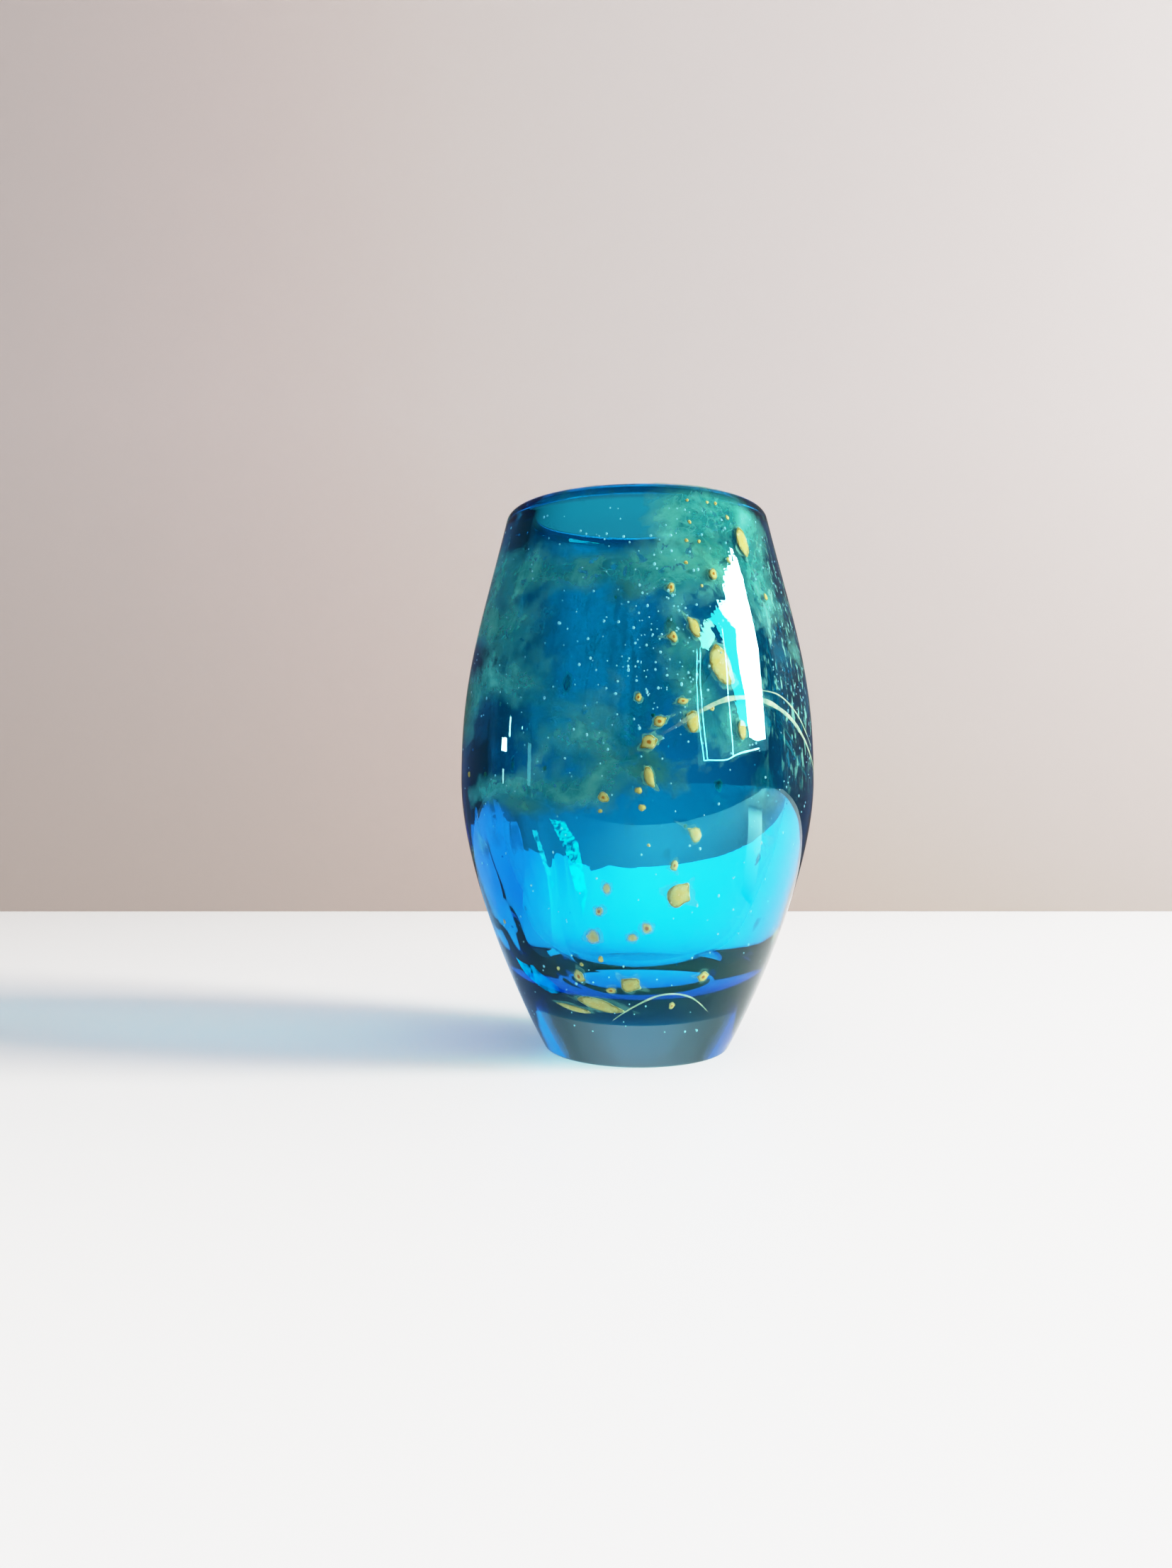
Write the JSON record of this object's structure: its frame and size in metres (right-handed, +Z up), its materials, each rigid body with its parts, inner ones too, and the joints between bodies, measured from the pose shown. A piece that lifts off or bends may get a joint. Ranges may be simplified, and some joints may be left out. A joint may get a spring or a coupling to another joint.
{
  "type": "art glass vase",
  "caption": "Barrel-shaped blown glass vase: a thick blue gather cased in clear glass, with coloured chips, green powder veils and pale trails sealed in the casing.",
  "frame": {"origin": "middle of the flat of the foot, on the surface that the vase stands on", "axes": "+Z up along the vase's axis; -Y is the front, the side that the picture shows; +X is to the right of the front"},
  "size_m": [0.1186, 0.1184, 0.18],
  "materials": {
    "clear_glass": "fire polished",
    "blue_glass": "fire polished",
    "amber_glass": "opaque, under clear glass",
    "green_powder": "cloudy, under clear glass",
    "pale_glass": "opaque, under clear glass"
  },
  "bodies": {
    "root": {"clear_casing": "clear_glass", "blue_body": "blue_glass", "front_specks": "amber_glass", "back_specks": "amber_glass", "chip_1": "amber_glass", "chip_2": "amber_glass", "chip_3": "amber_glass", "chip_4": "amber_glass", "chip_5": "amber_glass", "chip_6": "amber_glass", "chip_7": "amber_glass", "chip_8": "amber_glass", "chip_9": "amber_glass", "chip_10": "amber_glass", "chip_11": "amber_glass", "chip_12": "amber_glass", "chip_13": "amber_glass", "chip_14": "amber_glass", "chip_15": "amber_glass", "chip_16": "amber_glass", "chip_17": "amber_glass", "chip_18": "amber_glass", "chip_19": "amber_glass", "chip_20": "amber_glass", "chip_21": "amber_glass", "chip_22": "amber_glass", "chip_23": "amber_glass", "chip_24": "amber_glass", "chip_25": "amber_glass", "chip_26": "amber_glass", "chip_27": "amber_glass", "chip_28": "amber_glass", "chip_29": "amber_glass", "chip_30": "amber_glass", "chip_31": "amber_glass", "chip_32": "amber_glass", "chip_33": "amber_glass", "chip_34": "amber_glass", "chip_35": "amber_glass", "chip_36": "amber_glass", "chip_37": "amber_glass", "chip_38": "amber_glass", "powder_veil_1": "green_powder", "powder_veil_2": "green_powder", "powder_veil_3": "green_powder", "powder_veil_4": "green_powder", "powder_veil_5": "green_powder", "powder_veil_6": "green_powder", "powder_veil_7": "green_powder", "powder_veil_8": "green_powder", "powder_veil_9": "green_powder", "powder_veil_10": "green_powder", "powder_veil_11": "green_powder", "powder_veil_12": "green_powder", "shoulder_trail": "pale_glass", "shoulder_thread": "pale_glass", "base_thread": "pale_glass"}
  },
  "joints": []
}
